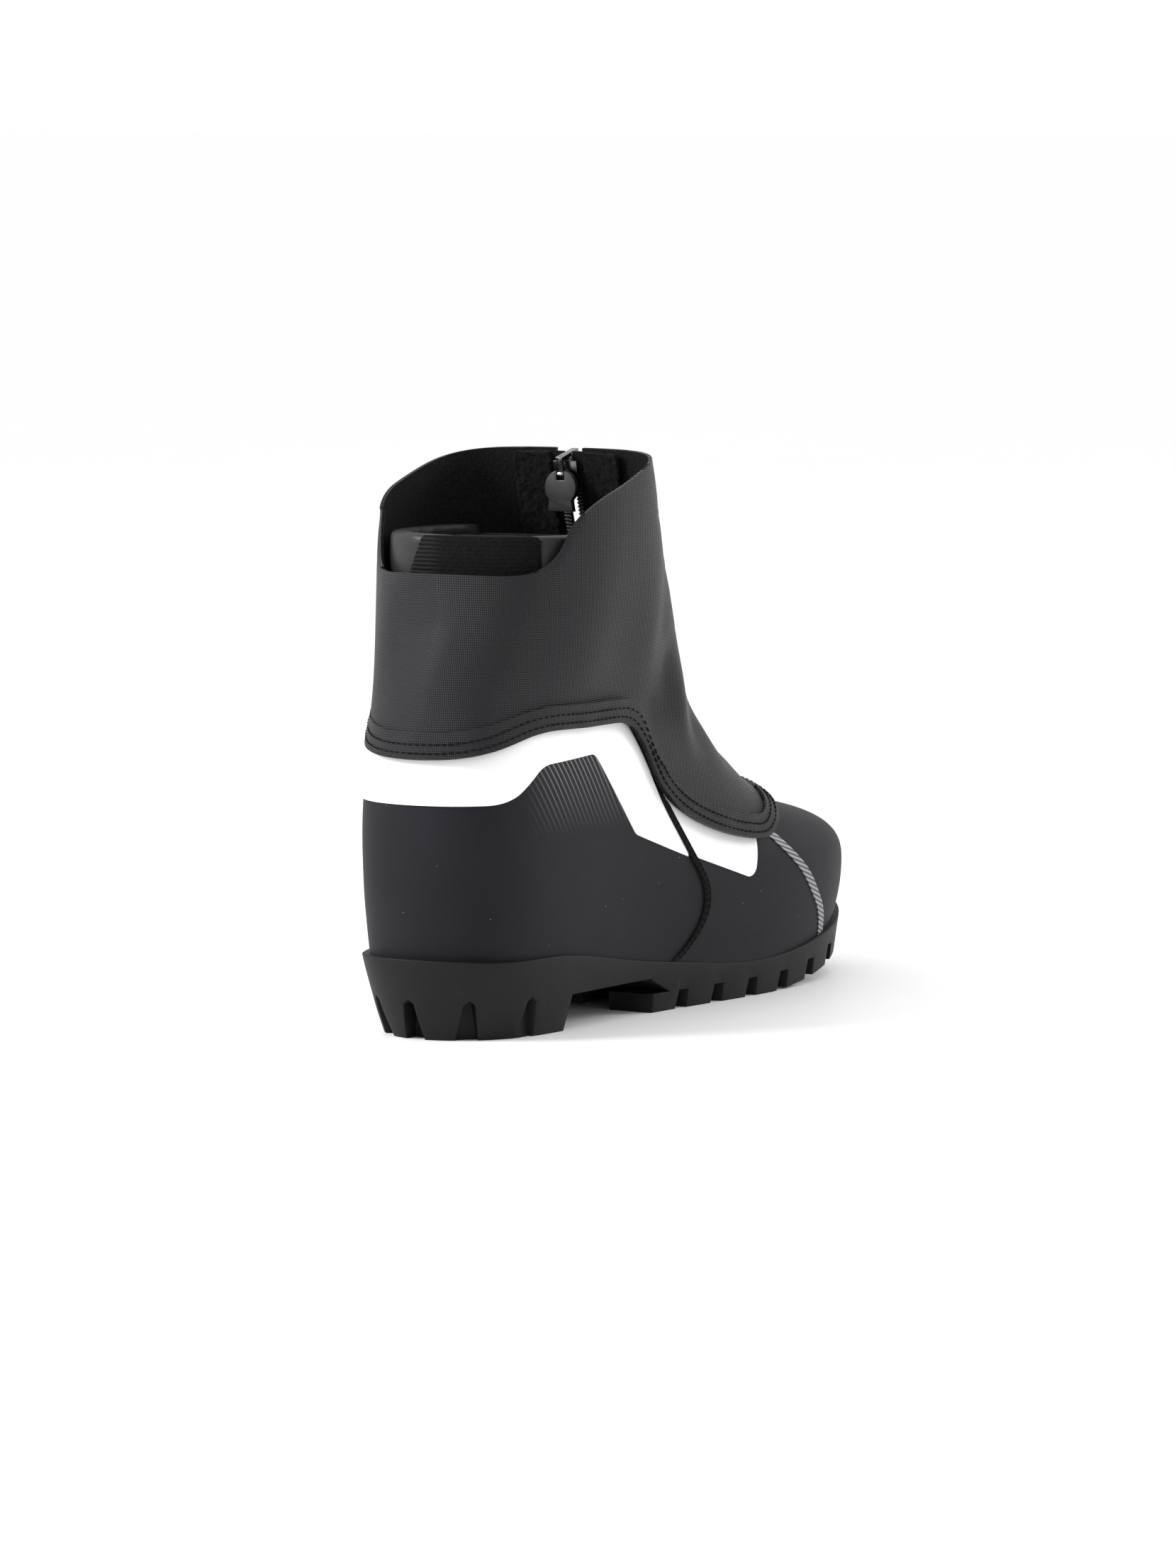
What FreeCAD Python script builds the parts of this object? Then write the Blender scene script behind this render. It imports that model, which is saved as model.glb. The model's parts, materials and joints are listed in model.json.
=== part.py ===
import FreeCAD, Part
import math
import os
from bisect import bisect_right
from FreeCAD import Vector

# Right-foot cross country ski boot with a zipped lace cover.
# Modelled with the heel at x = 0, toe along +X, medial side +Y, ground at z = 0, then moved
# so that the origin is under the middle of the sole.

# ---- overall sizes, mm
LENGTH = 264.0            # outsole, heel to toe
BALL_WIDTH = 97.0         # across the ball of the foot
HEIGHT = 188.0            # ground to the front rim of the lace cover
HEEL_SOLE = 26.0          # top of the outsole at the heel
BALL_SOLE = 12.4          # top of the outsole at the ball of the foot
CUFF_WIDTH = 87.0         # across the lace cover above the ankle

# ---- layers, from the outside in
UPPER_WALL = 2.0
COUNTER_WALL = 1.2
LINING_WALL = 2.0
COLLAR_WALL = 7.0
TONGUE_WALL = 5.0
COVER_WALL = 1.2
COVER_GAP = 0.3           # between the cover's outer face and the thickness of the upper under it
COVER_EASE = 1.8          # how far the cover draws in above the ankle
BOOT_EASE = 4.4           # how far the inner boot draws in there, inside the cover
FIT = 0.1                 # between two layers that are sewn or glued together
FILM = 0.4
BOARD = 2.0
FOOTBED = 4.0

# ---- heights and lines of the upper
COLLAR_TOP = HEIGHT - 25.0
COLLAR_BASE = COLLAR_TOP - 27.0
QUARTER_TOP = COLLAR_TOP - 15.0
KNIT_LATERAL = 39.0       # x where the collar's knit panel meets the lateral pad
KNIT_MEDIAL = 30.0
TONGUE_TOP = COLLAR_TOP - 3.0
HEM_BAND = 8.0
THROAT = 26.0             # width of the lacing gap
THROAT_END = 0.674 * LENGTH
TONGUE_WIDTH = 48.0
EYESTAY = 9.0
LOOP_PAIRS = 5
LOOP_PITCH = 15.5
LOOP_START = 0.42 * HEIGHT
LOOP_RADIUS = 2.3
LOOP_WIRE = 0.75

# ---- sole
DRAFT = 0.17
SOLE_FLARE = 1.0
BAR_DIAMETER = 4.0
BAR_BACK = 18.0           # bar centre behind the toe tip
BAR_LIFT = 5.5            # bar centre above the tread under it
BAR_SPAN = 30.0           # exposed width
BAR_SEAT = 5.0            # length held at each end
RECESS = 13.0             # length of the gap around the bar
INSERT_WALL = 5.0
HEEL_BREAST = 52.0        # x where the heel block ends
LUG_START = 100.0
LUG_PITCH = 19.5
LUG_GAP = 6.5
LUG_COUNT = int((LENGTH - BAR_BACK - RECESS - LUG_START) / LUG_PITCH) + 1
GUIDE_IN = 7.5
GUIDE_OUT = 17.0
TREAD = 6.5               # depth of the forefoot tread
HEEL_TREAD = 13.0
STRIPE_WIDTH = 5.2
NOTCH = 8.0               # width of a notch in the heel
HEEL_MIDDLE = 30.0        # x that the heel's notches point at
LUG_TAPER = 0.7
RIDGE_STEP = 2.0          # ridge between the guide grooves above the lugs
INSERT_BACK = 9.0         # toe insert behind the gap around the bar
SOLE_RINGS = (-2, 4, 8, 12, 16, 20, 25, 30, 34)
SHANK = (55.0, 150.0, 14.0, 1.5)   # from x, to x, width, thickness

# ---- zip
ZIP_HIGH = (0.405 * LENGTH, HEIGHT)
ZIP_LOW = (0.625 * LENGTH, 0.4415 * HEIGHT)
ZIP_BEND = 9.5            # how far the arc between them stands back from a straight line
ZIP_SLOT = 10.0           # gap in the cover
TAPE = 0.8
TAPE_WIDTH = 12.0
SLIT = 3.0                # between the two zip halves
TEETH = (1.8, 2.7)        # thickness, width of one row
ZIP_END = 0.505 * HEIGHT  # height of its lower end
FACING_WIDTH = 14.0
FACING_NEAR = 6.2         # from the middle of the zip
FACING_WALL = 1.5
FACING_END = HEIGHT - 70.0
SLIDER = (10.0, 9.0, 0.9)  # length, width, plate
SLIDER_PLAY = 0.45
SLIDER_DROP = 7.5         # middle of the slider below the rim when the zip is closed
PIN_OUT = 2.0             # pull's pin in front of the slider's outer plate
PIN_RADIUS = 0.6
PULL_WIDTH = 2.4
PULL_THICK = 1.4
PULL_RISE = 2.2           # pull's top bar above its pin
PULL_BACK = 2.7           # pull's leg behind the slider's inner plate
KNUCKLE_UP = 1.0          # knuckle above the middle of the slider
TAB = (14.0, 12.0, 2.4)   # length, width, thickness
TAB_EDGE = 1.6            # top of the tab above the knuckle
SWING = 0.3               # side clearance of what turns on a pin

# ---- outlines: shares of LENGTH along, of HEIGHT up, and of half the width across
BACK_LINE = ((0, 0.0227), (0.149, 0.0152), (0.266, 0.0095), (0.383, 0.0083), (0.489, 0.017),
             (0.585, 0.0322), (0.691, 0.0549), (0.803, 0.0758), (1.032, 0.0928))
COVER_LINE = ((0.997, 0.16), (0.995, 0.197), (0.981, 0.245), (0.951, 0.281), (0.902, 0.307),
              (0.845, 0.324), (0.79, 0.341), (0.716, 0.378))
BOOT_LINE = ((0.997, 0.16), (0.995, 0.197), (0.981, 0.245), (0.951, 0.281), (0.902, 0.307),
             (0.845, 0.324), (0.78, 0.34), (0.701, 0.363), (0.62, 0.388), (0.545, 0.428),
             (0.486, 0.495), (0.438, 0.58), (0.4, 0.69), (0.371, 0.79), (0.354, 0.878),
             (0.342, 0.947), (0.332, 1.053))
LATERAL = ((0, 0), (0.011, 0.32), (0.038, 0.525), (0.083, 0.67), (0.159, 0.732), (0.284, 0.753),
           (0.409, 0.814), (0.53, 0.918), (0.633, 0.99), (0.716, 1), (0.795, 0.955), (0.864, 0.83),
           (0.917, 0.66), (0.958, 0.47), (0.987, 0.27), (1, 0))
MEDIAL = ((0, 0), (0.011, 0.31), (0.038, 0.505), (0.083, 0.64), (0.159, 0.7), (0.284, 0.7),
          (0.409, 0.753), (0.53, 0.866), (0.633, 0.959), (0.731, 1), (0.82, 0.99), (0.886, 0.89),
          (0.932, 0.73), (0.966, 0.53), (0.989, 0.3), (1, 0))
FOOT_SHARE = ((0.074, 0.90), (0.149, 0.955), (0.223, 0.99), (0.293, 1.0), (0.40, 0.985), (0.505, 0.95))
CUFF_SHARE = ((0.436, 0.83), (0.548, 0.885), (0.68, 0.965), (0.80, 1.0), (1.01, 0.977))
ZIP_LEVELS = (0.42, 0.45, 0.48, 0.52, 0.575, 0.64, 0.71, 0.78, 0.86, 0.93, 1.0, 1.06)
LEVELS = (0.03, 0.075, 0.117, 0.16, 0.191, 0.223, 0.25, 0.271, 0.29, 0.309, 0.327, 0.346, 0.367, 0.394,
          0.426, 0.463, 0.505, 0.559, 0.622, 0.697, 0.777, 0.856, 0.936, 1.0, 1.053)
TOE_POWER = 2.4
BACK_POWER = 2.1
FRONT_POWER = 3.4
WIDEST = 0.213 * HEIGHT
HALF_POINTS = 16


def curve(table, x):
    """Smooth line through a table of points, level beyond its ends."""
    xs = [p[0] for p in table]
    last = len(xs) - 1
    if x <= xs[0]:
        return table[0][1]
    if x >= xs[last]:
        return table[last][1]
    i = bisect_right(xs, x) - 1

    def slope(k):
        a, b = table[max(k - 1, 0)], table[min(k + 1, last)]
        return (b[1] - a[1]) / (b[0] - a[0])

    h = xs[i + 1] - xs[i]
    t = (x - xs[i]) / h
    start, end = table[i][1], table[i + 1][1]
    return ((2 * t**3 - 3 * t**2 + 1) * start + (t**3 - 2 * t**2 + t) * slope(i) * h
            + (3 * t**2 - 2 * t**3) * end + (t**3 - t**2) * slope(i + 1) * h)


def smooth(low, high, value):
    t = max(0.0, min(1.0, (value - low) / (high - low)))
    return t * t * (3 - 2 * t)


def scaled(table):
    return [(x * LENGTH, z * HEIGHT) for x, z in table]


def zip_arc():
    """Centre and radius of the arc through the zip's ends, bent towards the heel."""
    dx, dz = ZIP_HIGH[0] - ZIP_LOW[0], ZIP_HIGH[1] - ZIP_LOW[1]
    chord = math.hypot(dx, dz)
    radius = (chord**2 / 4 + ZIP_BEND**2) / (2 * ZIP_BEND)
    reach = radius - ZIP_BEND
    middle = ((ZIP_HIGH[0] + ZIP_LOW[0]) / 2, (ZIP_HIGH[1] + ZIP_LOW[1]) / 2)
    return (middle[0] + reach * dz / chord, middle[1] - reach * dx / chord), radius


ZIP_CENTRE, ZIP_RADIUS = zip_arc()


def zip_x(z):
    """The cover's front line: an arc about a point ahead of the boot."""
    return ZIP_CENTRE[0] - math.sqrt(ZIP_RADIUS**2 - (ZIP_CENTRE[1] - z)**2)


def cover_profile():
    low = scaled(COVER_LINE)
    arc = [(zip_x(share * HEIGHT), share * HEIGHT) for share in ZIP_LEVELS]
    return low + arc


def boot_profile():
    return scaled(BOOT_LINE)


def inset_profile(profile, d):
    moved = []
    for i, (x, z) in enumerate(profile):
        a, b = profile[max(i - 1, 0)], profile[min(i + 1, len(profile) - 1)]
        tx, tz = b[0] - a[0], b[1] - a[1]
        size = math.hypot(tx, tz)
        moved.append((x - d * tz / size, z + d * tx / size) if i else (x - d, z))
    return moved


def front_x(profile, z):
    if z <= profile[0][1]:
        return profile[0][0] - 0.32 * (profile[0][1] - z)
    return curve([(b, a) for a, b in profile], z)


def height_at(profile, x):
    rising = list(reversed(profile))
    if x < rising[0][0]:
        return rising[0][1] + 4 * (rising[0][0] - x)
    return curve(rising, x)


def half_width(table, x):
    """Plan half width, read along an angle because the outline is round at both ends."""
    angles = [(math.acos(1 - 2 * share), width * BALL_WIDTH / 2) for share, width in table]
    return max(0.0, curve(angles, math.acos(max(-1.0, min(1.0, 1 - 2 * x / LENGTH)))))


def ring(z, profile, d, front_ease, side_ease):
    """Closed loop of points round the boot at one height, d inside the upper's face."""
    level = z / HEIGHT
    ease = side_ease * smooth(0.452, 0.585, level)
    line = inset_profile(profile, d + front_ease)
    back = curve(BACK_LINE, level) * LENGTH + d + ease
    front = front_x(line, z)
    toe = front_x(line, min(z, line[0][1]))
    shaft = smooth(0.468, 0.68, level)
    middle, reach = (back + front) / 2, (front - back) / 2
    sides = []
    for sign, table in ((-1, LATERAL), (1, MEDIAL)):
        row = []
        for i in range(HALF_POINTS + 1):
            x = back + (front - back) * (1 - math.cos(math.pi * i / HALF_POINTS)) / 2
            foot = half_width(table, max(0.0, min(LENGTH, (x - back) * LENGTH / (toe - back))))
            foot *= curve(FOOT_SHARE, level) * (1 - (d + ease) / (BALL_WIDTH / 2))
            rise = max(0.0, (z - WIDEST) / (height_at(line, x) - WIDEST)) if z > WIDEST else 0.0
            foot *= max(0.0, 1 - min(1.0, rise)**TOE_POWER)**(1 / TOE_POWER)
            power = BACK_POWER if x < middle else FRONT_POWER
            across = CUFF_WIDTH / 2 * curve(CUFF_SHARE, level) - d - ease
            across *= max(0.0, 1 - abs((x - middle) / reach)**power)**(1 / power)
            row.append(Vector(x, sign * ((1 - shaft) * foot + shaft * across), z))
        sides.append(row)
    return sides[0] + sides[1][-2:0:-1]


def skin(rows):
    """Closed solid through closed loops of points, flat at both ends."""
    around, up = len(rows[0]), len(rows)
    face = Part.BSplineSurface()
    poles = [[rows[j][i] for j in range(up)] for i in range(around)]
    face.buildFromPolesMultsKnots(poles, [1] * (around + 1), [4] + [1] * (up - 4) + [4],
                                  list(range(around + 1)), list(range(up - 2)), True, False, 3, 3)
    side = face.toShape()
    ends = [Part.Face(Part.Wire([edge])) for edge in side.Edges if edge.isClosed() and
            edge.BoundBox.ZLength < 1e-6]
    shell = Part.makeShell([side] + ends)
    shell.sewShape()
    solid = Part.makeSolid(shell)
    if solid.Volume < 0:
        solid.reverse()
    return solid


solids = {}


def boot(d):
    """Solid inner boot, d inside its outer face."""
    key = ("boot", d)
    if key not in solids:
        solids[key] = skin([ring(share * HEIGHT, boot_profile(), d, 0.0, BOOT_EASE) for share in LEVELS])
    return solids[key]


def cover(d):
    key = ("cover", d)
    if key not in solids:
        rows = [ring(share * HEIGHT, cover_profile(), d, COVER_EASE, COVER_EASE) for share in LEVELS]
        solids[key] = skin(rows)
    return solids[key]


def layer(kind, outside, inside):
    return kind(outside).cut(kind(inside))


def box(x0, x1, y0, y1, z0, z1):
    return Part.makeBox(x1 - x0, y1 - y0, z1 - z0, Vector(x0, y0, z0))


def outline(shares):
    return [(x * LENGTH, z * HEIGHT) for x, z in shares]


def spline(points):
    line = Part.BSplineCurve()
    line.interpolate([Vector(x, 0, z) for x, z in points])
    return line.toShape()


def chain(points):
    return [Part.LineSegment(Vector(a[0], 0, a[1]), Vector(b[0], 0, b[1])).toShape()
            for a, b in zip(points, points[1:])]


def across(edges, y0=-90.0, y1=90.0):
    """Side-view outline drawn through the boot from y0 to y1."""
    face = Part.Face(Part.Wire(edges))
    face.translate(Vector(0, y0, 0))
    return face.extrude(Vector(0, y1 - y0, 0))


def below(points, y0=-90.0, y1=90.0):
    """Everything under a smooth side-view line that runs from heel to toe."""
    first, last = points[0], points[-1]
    return across([spline(points)] + chain([last, (last[0], -40), (first[0], -40), first]), y0, y1)


def above(points, y0=-90.0, y1=90.0):
    first, last = points[0], points[-1]
    return across([spline(points)] + chain([last, (last[0], 260), (first[0], 260), first]), y0, y1)


def rounded(points, radii):
    """Straight runs through the points, with an arc of the given radius at each corner."""
    edges, start = [], Vector(points[0][0], 0, points[0][1])
    for i, radius in enumerate(radii):
        a, b, c = [Vector(x, 0, z) for x, z in points[i:i + 3]]
        into, out = (a - b).normalize(), (c - b).normalize()
        half = into.getAngle(out) / 2
        first, last = b + into * (radius / math.tan(half)), b + out * (radius / math.tan(half))
        bisector = (into + out).normalize()
        middle = b + bisector * (radius / math.sin(half) - radius)
        edges.append(Part.LineSegment(start, first).toShape())
        edges.append(Part.Arc(first, middle, last).toShape())
        start = last
    edges.append(Part.LineSegment(start, Vector(points[-1][0], 0, points[-1][1])).toShape())
    return edges


def above_runs(points, radii):
    first, last = points[0], points[-1]
    return across(rounded(points, radii) + chain([last, (last[0], 260), (first[0], 260), first]))


def ahead(points):
    """Everything on the toe side of a smooth side-view line that runs upwards."""
    first, last = points[0], points[-1]
    return across([spline(points)] + chain([last, (LENGTH + 60, last[1]), (LENGTH + 60, first[1]), first]))


def ribbon(points, width):
    """Side-view strip of constant width along a line."""
    front = [(x + width / 2, z) for x, z in points]
    back = [(x - width / 2, z) for x, z in points]
    return across([spline(front)] + chain([front[-1], back[-1]]) + [spline(back)] + chain([back[0], front[0]]))


def raised(line, rise):
    return [(x, z + rise) for x, z in line]


made = {}


def keep(name, shape):
    """Hold a finished piece under its name, without loose slivers."""
    shape = shape.removeSplitter() if shape.ShapeType != "Compound" else shape
    pieces = [s for s in shape.Solids if s.Volume > 0.5]
    made[name] = Part.makeCompound(pieces) if len(pieces) > 1 else pieces[0]


# ---- side-view lines
SOLE_TOP = [(share * LENGTH, z) for share, z in (
    (-0.076, HEEL_SOLE + 1.5), (0, HEEL_SOLE + 1), (0.057, HEEL_SOLE), (0.152, HEEL_SOLE),
    (0.227, HEEL_SOLE - 2), (0.341, (HEEL_SOLE + BALL_SOLE) / 2), (0.455, BALL_SOLE + 3.2),
    (0.549, BALL_SOLE + 0.5), (0.625, BALL_SOLE), (0.72, BALL_SOLE + 2), (0.814, BALL_SOLE + 5.5),
    (0.902, BALL_SOLE + 9), (1.038, BALL_SOLE + 14))]
SPRING = [(share * LENGTH, z) for share, z in (
    (0.636, 0.0), (0.693, 0.8), (0.758, 2.8), (0.826, 5.5), (0.902, 8.8), (1.038, 15.0))]
SEAM = outline(((0.379, 0.043), (0.424, 0.09), (0.462, 0.133), (0.479, 0.181), (0.473, 0.223),
                (0.447, 0.274), (0.424, 0.319), (0.398, 0.372), (0.375, 0.436), (0.36, 0.511),
                (0.345, 0.612), (0.333, 0.745), (0.326, 1.064)))
HEM = outline(((-0.114, 0.495), (0.027, 0.495), (0.061, 0.508), (0.106, 0.527), (0.189, 0.532),
               (0.273, 0.532), (0.322, 0.521), (0.348, 0.484), (0.375, 0.415), (0.405, 0.375),
               (0.451, 0.34), (0.511, 0.311), (0.568, 0.295), (0.602, 0.295), (0.636, 0.319),
               (0.674, 0.356), (0.712, 0.394), (0.758, 0.447)))
RIM = outline(((-0.114, 0.803), (0.106, 0.803), (0.133, 0.814), (0.152, 0.84), (0.174, 0.894),
               (0.205, 0.926), (0.258, 0.952), (0.322, 0.979), (0.39, 1), (0.53, 1)))
BAND = outline(((-0.114, 0.408), (0.066, 0.412), (0.125, 0.474), (0.241, 0.482), (0.324, 0.33),
                (0.436, 0.277)))
BAND_TURNS = (20.0, 14.0, 4.5, 5.0)
PANEL = outline(((0.36, 0.33), (0.447, 0.276), (0.576, 0.219), (0.597, 0.335)))
PANEL_TURNS = (4.0, 4.0)
STRIPE = outline(((0.61, 0.319), (0.636, 0.287), (0.67, 0.25), (0.705, 0.213), (0.739, 0.17),
                  (0.769, 0.128), (0.784, 0.08), (0.788, 0.043)))


def sole_spring(x):
    return curve(SPRING, x)


def under_tread(depth, y0=-90.0, y1=90.0, start=-30.0):
    """Everything under the ground side of the sole raised by a depth: level, then up at the toe."""
    line = raised(SPRING, depth)
    edge = Part.BSplineCurve()
    edge.interpolate(Points=[Vector(x, 0, z) for x, z in line], InitialTangent=Vector(1, 0, 0),
                     FinalTangent=Vector(1, 0, 0.2))
    corners = [line[-1], (line[-1][0], -40), (start, -40), (start, depth), line[0]]
    return across([edge.toShape()] + chain(corners), y0, y1)


# ---- outsole and what is built into it
def sole_ring(z):
    tuck = curve([(0, 8.0), (6, 5.0), (14, 3.0), (22, 1.0), (28, 0.0)], z)
    rows = []
    for sign, table in ((-1, LATERAL), (1, MEDIAL)):
        row = []
        for i in range(HALF_POINTS + 1):
            share = (1 - math.cos(math.pi * i / HALF_POINTS)) / 2
            x = tuck + (LENGTH - tuck) * share
            wide = half_width(table, share * LENGTH)
            edge = min(1.0, wide / 12)
            wide = wide * 0.955 + edge * (SOLE_FLARE - DRAFT * (28 - z))
            row.append(Vector(x, sign * max(0.0, wide), z))
        rows.append(row)
    return rows[0] + rows[1][-2:0:-1]


def make_lugs():
    """Gaps between the lugs, as cutters from the guide grooves outwards."""
    gaps = []
    for i in range(LUG_COUNT):
        x = LUG_START + i * LUG_PITCH
        z = sole_spring(x)
        open_half, root_half = LUG_GAP / 2 + LUG_TAPER, LUG_GAP / 2 - LUG_TAPER
        section = chain([(x - open_half, z - 8), (x + open_half, z - 8), (x + root_half, z + TREAD),
                         (x - root_half, z + TREAD), (x - open_half, z - 8)])
        gaps.append(across(section, GUIDE_OUT, 80))
        gaps.append(across(section, -80, -GUIDE_OUT))
    return gaps


def heel_notches():
    """Tapered notches round the edge of the heel, each at an angle and a start from its middle."""
    cuts = []
    for angle, reach in ((176, 17), (222, 20), (270, 26), (138, 20), (90, 24)):
        section = ((-NOTCH / 2, -2), (NOTCH / 2, -2), (NOTCH / 4, HEEL_TREAD - 1), (0, HEEL_TREAD + 0.5),
                   (-NOTCH / 4, HEEL_TREAD - 1), (-NOTCH / 2, -2))
        face = Part.Face(Part.makePolygon([Vector(reach, y, z) for y, z in section]))
        cut = face.extrude(Vector(40, 0, 0))
        cut.rotate(Vector(0, 0, 0), Vector(0, 0, 1), angle)
        cut.translate(Vector(HEEL_MIDDLE, 0, 0))
        cuts.append(cut)
    return cuts


def bar_centre():
    x = LENGTH - BAR_BACK
    return x, sole_spring(x) + BAR_LIFT


def make_sole():
    whole = skin([sole_ring(z) for z in SOLE_RINGS])
    block = whole.cut(above(SOLE_TOP)).cut(under_tread(0.0))
    root = HEEL_TREAD - 1
    waist = box(HEEL_BREAST, LUG_START, -90, 90, -5, root)
    breast = across(chain([(HEEL_BREAST - 3, -5), (HEEL_BREAST, root), (HEEL_BREAST + 5, root),
                           (HEEL_BREAST + 5, -5), (HEEL_BREAST - 3, -5)]))
    slope = across(chain([(LUG_START - 1, -5), (LUG_START - 1, root), (LUG_START + 12, TREAD),
                          (LUG_START - 1, TREAD), (LUG_START - 1, -5)]))
    block = block.cut([waist, breast, slope] + make_lugs() + heel_notches())
    guides = [under_tread(TREAD, GUIDE_IN, GUIDE_OUT, LUG_START - 20),
              under_tread(TREAD, -GUIDE_OUT, -GUIDE_IN, LUG_START - 20)]
    centre = under_tread(RIDGE_STEP, -GUIDE_IN, GUIDE_IN, LUG_START - 20)
    hollow = box(14, HEEL_BREAST + 10, -9, 9, -5, 6)
    block = block.cut(guides + [centre, hollow])

    x, z = bar_centre()
    half = (BAR_SPAN + BAR_SEAT) / 2 + INSERT_WALL
    back, front = x - RECESS / 2 - INSERT_BACK, x + RECESS / 2 + INSERT_WALL
    pocket = box(back, front, -half, half, -5, z + 7)
    insert = block.common(pocket)
    fill = box(back, front, -half, half, sole_spring(back) + 1.5, z + 7).common(whole)
    recess = box(x - RECESS / 2, x + RECESS / 2, -BAR_SPAN / 2, BAR_SPAN / 2, -10, z + BAR_DIAMETER / 2 + 2.5)
    bar = Part.makeCylinder(BAR_DIAMETER / 2, BAR_SPAN + 2 * BAR_SEAT, Vector(x, -BAR_SPAN / 2 - BAR_SEAT, z),
                            Vector(0, 1, 0))
    x0, x1, wide, thick = SHANK
    shank = box(x0, x1, -wide / 2, wide / 2, 0, 60).common(on_sole(-thick, 0.0))
    keep("outsole", block.cut([pocket, shank]))
    insert = insert.fuse(fill).cut([under_tread(0.0), above(SOLE_TOP)])
    keep("toe_insert", insert.cut([recess, bar]))
    keep("binding_bar", bar)
    keep("shank", shank)


def on_sole(low, high):
    return below(raised(SOLE_TOP, high)).cut(below(raised(SOLE_TOP, low)))


# ---- inner boot
def front_wall(y0, y1, foot=THROAT_END):
    """Side-view region of the instep and the cuff's front, between two widths."""
    top, back = 1.15 * HEIGHT, 0.303 * LENGTH
    edge = [(foot, 0.277 * HEIGHT), (foot, 0.48 * HEIGHT), (0.57 * LENGTH, top), (back, top),
            (back, 0.665 * HEIGHT), (0.424 * LENGTH, 0.447 * HEIGHT), (0.568 * LENGTH, 0.309 * HEIGHT),
            (foot, 0.277 * HEIGHT)]
    return across(chain(edge), y0, y1)


def make_inner_boot():
    standing = below(SOLE_TOP)
    wall = layer(boot, 0.0, UPPER_WALL).cut(standing)
    wall = wall.cut(box(-50, LENGTH, -90, 90, QUARTER_TOP, 260))
    wall = wall.cut(front_wall(-THROAT / 2, THROAT / 2))
    toe_side = ahead(SEAM)
    keep("vamp", wall.common(toe_side))
    keep("rear_quarter", wall.cut(toe_side))

    gap = UPPER_WALL + FIT
    stiff = layer(boot, gap, gap + COUNTER_WALL).cut(below(raised(SOLE_TOP, FIT)))
    counter_zone = below([(-30, 74), (20, 72), (45, 62), (70, 42), (84, 16)])
    puff_zone = ahead([(LENGTH - 50, 8), (LENGTH - 46, 30), (LENGTH - 32, 75)])
    keep("heel_counter", stiff.common(counter_zone))
    keep("toe_puff", stiff.common(puff_zone))

    board = boot(gap + COUNTER_WALL + FIT).common(on_sole(FIT, BOARD))
    keep("insole_board", board)
    lining = layer(boot, gap + COUNTER_WALL + FIT, gap + COUNTER_WALL + FIT + LINING_WALL)
    lining = lining.cut(below(raised(SOLE_TOP, BOARD + FIT)))
    lining = lining.cut(box(-50, LENGTH, -90, 90, COLLAR_BASE, 260))
    lining = lining.cut(front_wall(-TONGUE_WIDTH / 2 - 0.3, TONGUE_WIDTH / 2 + 0.3, THROAT_END + 8))
    keep("lining", lining)
    bed = boot(gap + COUNTER_WALL + 2 * FIT + LINING_WALL).common(on_sole(BOARD + FIT, BOARD + FOOTBED))
    keep("footbed", bed)

    collar = layer(boot, gap, gap + COLLAR_WALL)
    collar = collar.common(box(-50, LENGTH, -90, 90, COLLAR_BASE + FIT, COLLAR_TOP))
    collar = collar.cut(front_wall(-TONGUE_WIDTH / 2 - 0.5, TONGUE_WIDTH / 2 + 0.5))
    lateral_pad = box(KNIT_LATERAL, 200, -90, 0, 0, 260)
    medial_pad = box(KNIT_MEDIAL, 200, 0, 90, 0, 260)
    knit = [box(-50, KNIT_LATERAL - FIT, -90, 0, 0, 260), box(-50, KNIT_MEDIAL - FIT, 0, 90, 0, 260)]
    keep("collar_back_panel", collar.common(knit[0].fuse(knit[1])))
    keep("collar_pad_lateral", collar.common(lateral_pad))
    keep("collar_pad_medial", collar.common(medial_pad))

    tongue = layer(boot, gap, gap + TONGUE_WALL)
    tongue = tongue.common(front_wall(-TONGUE_WIDTH / 2, TONGUE_WIDTH / 2, THROAT_END + 7))
    keep("tongue", tongue.cut(box(0, LENGTH, -90, 90, TONGUE_TOP, 260)))

    stays = layer(boot, -1.2, -FIT).common(box(0, LENGTH, -90, 90, 0, QUARTER_TOP))
    for name, sign in (("eyestay_lateral", -1), ("eyestay_medial", 1)):
        a, b = sign * THROAT / 2, sign * (THROAT / 2 + EYESTAY)
        keep(name, stays.common(front_wall(min(a, b), max(a, b), THROAT_END - 4)))


def make_loops():
    """Lace loops that stand on the eyestays."""
    line = inset_profile(boot_profile(), -1.2)
    rising = [(z, x) for x, z in line]
    loops = []
    for i in range(LOOP_PAIRS):
        z = LOOP_START + i * LOOP_PITCH
        x, ahead_x = curve(rising, z), curve(rising, z + 2)
        along = Vector(ahead_x - x, 0, 2).normalize()
        outward = Vector(along.z, 0, -along.x)
        for sign in (-1, 1):
            place = Vector(x - 1.2, sign * (THROAT / 2 + 3.5), z) + outward * 0.6
            loop = Part.makeTorus(LOOP_RADIUS, LOOP_WIRE, place, along)
            loops.append(loop.cut(boot(-1.3)))
    keep("lace_loops", Part.makeCompound(loops))


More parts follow.
